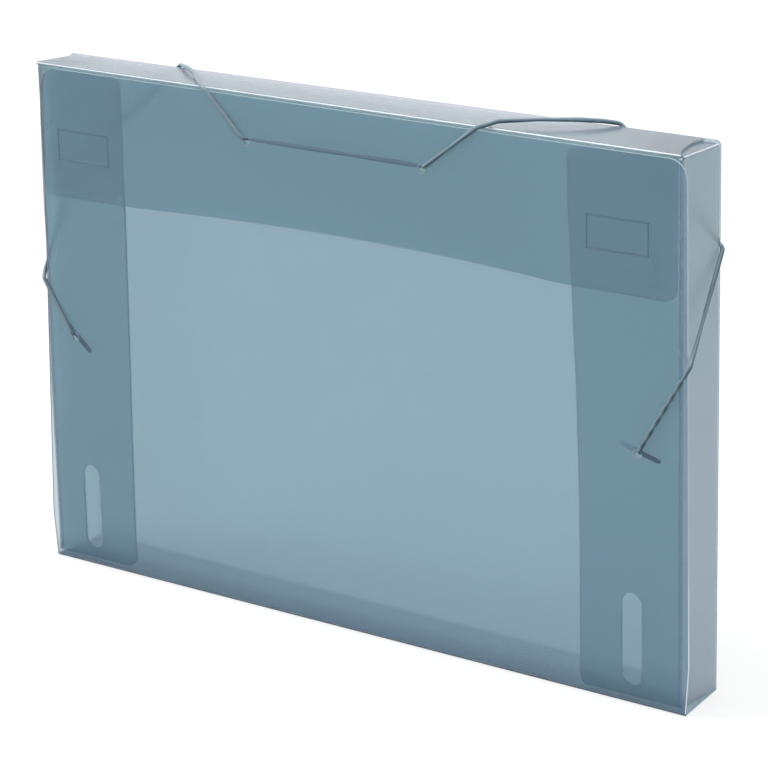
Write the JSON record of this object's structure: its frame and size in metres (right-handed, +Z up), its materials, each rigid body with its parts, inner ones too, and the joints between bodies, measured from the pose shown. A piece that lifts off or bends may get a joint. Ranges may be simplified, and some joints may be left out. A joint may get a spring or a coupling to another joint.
{
  "type": "box file",
  "caption": "Slim box file folded from frosted plastic sheet, with tucked side flaps and a hinged cover held shut by elastic loops over the top corners.",
  "frame": {"origin": "middle of the underside of the bottom wall, which is the side the file stands on", "axes": "+X along the long side to the right as seen from the cover, +Y from the cover to the back, +Z up"},
  "size_m": [0.341, 0.0352, 0.2319],
  "materials": {
    "sheet": "frosted translucent polypropylene sheet, smoke blue-grey",
    "elastic": "round elastic cord with a fine woven cover",
    "end_bar": "smooth moulded bar"
  },
  "bodies": {
    "tray_back": {"back_panel": "sheet"},
    "spine": {"bottom_wall": "sheet"},
    "front_cover": {"cover": "sheet", "elastic_cord": "elastic", "left_t_bar": "end_bar", "right_t_bar": "end_bar"},
    "top_side": {"top_wall": "sheet"},
    "top_tuck_flap": {"top_flap": "sheet"},
    "left_side": {"left_wall": "sheet", "left_dust_flap": "sheet"},
    "left_tuck_flap": {"left_flap": "sheet"},
    "right_side": {"right_wall": "sheet", "right_dust_flap": "sheet"},
    "right_tuck_flap": {"right_flap": "sheet"}
  },
  "joints": [
    {"name": "spine_crease", "type": "hinge", "parent": "tray_back", "child": "spine", "pos_m": [0, 0.0151, 0.0004], "axis": [1, 0, 0], "range_deg": [0, 90], "stiffness_Nm_per_rad": 0.3, "springref_deg": -5.73},
    {"name": "cover_crease", "type": "hinge", "parent": "spine", "child": "front_cover", "pos_m": [0, -0.0151, 0.0004], "axis": [1, 0, 0], "range_deg": [0, 180], "stiffness_Nm_per_rad": 0.3, "springref_deg": -11.46, "deforming": ["elastic_cord"]},
    {"name": "top_wall_crease", "type": "hinge", "parent": "tray_back", "child": "top_side", "pos_m": [0, 0.0151, 0.2276], "axis": [-1, 0, 0], "range_deg": [0, 90]},
    {"name": "top_flap_crease", "type": "hinge", "parent": "top_side", "child": "top_tuck_flap", "pos_m": [0, -0.0122, 0.2276], "axis": [-1, 0, 0], "range_deg": [0, 90]},
    {"name": "left_wall_crease", "type": "hinge", "parent": "tray_back", "child": "left_side", "pos_m": [-0.1656, 0.0151, 0], "axis": [0, 0, -1], "range_deg": [0, 85], "stiffness_Nm_per_rad": 0.02, "springref_deg": -5.73},
    {"name": "left_flap_crease", "type": "hinge", "parent": "left_side", "child": "left_tuck_flap", "pos_m": [-0.1652, -0.01085, 0], "axis": [0, 0, 1], "range_deg": [0, 85]},
    {"name": "right_wall_crease", "type": "hinge", "parent": "tray_back", "child": "right_side", "pos_m": [0.1656, 0.0151, 0], "axis": [0, 0, 1], "range_deg": [0, 85], "stiffness_Nm_per_rad": 0.02, "springref_deg": -5.73},
    {"name": "right_flap_crease", "type": "hinge", "parent": "right_side", "child": "right_tuck_flap", "pos_m": [0.1652, -0.01085, 0], "axis": [0, 0, -1], "range_deg": [0, 85]}
  ],
  "couplings": [
    {"joint": "top_wall_crease", "follows": "cover_crease", "ratio": 0.5},
    {"joint": "top_flap_crease", "follows": "cover_crease", "ratio": 0.5},
    {"joint": "left_flap_crease", "follows": "left_wall_crease", "ratio": 1},
    {"joint": "right_flap_crease", "follows": "right_wall_crease", "ratio": 1}
  ]
}
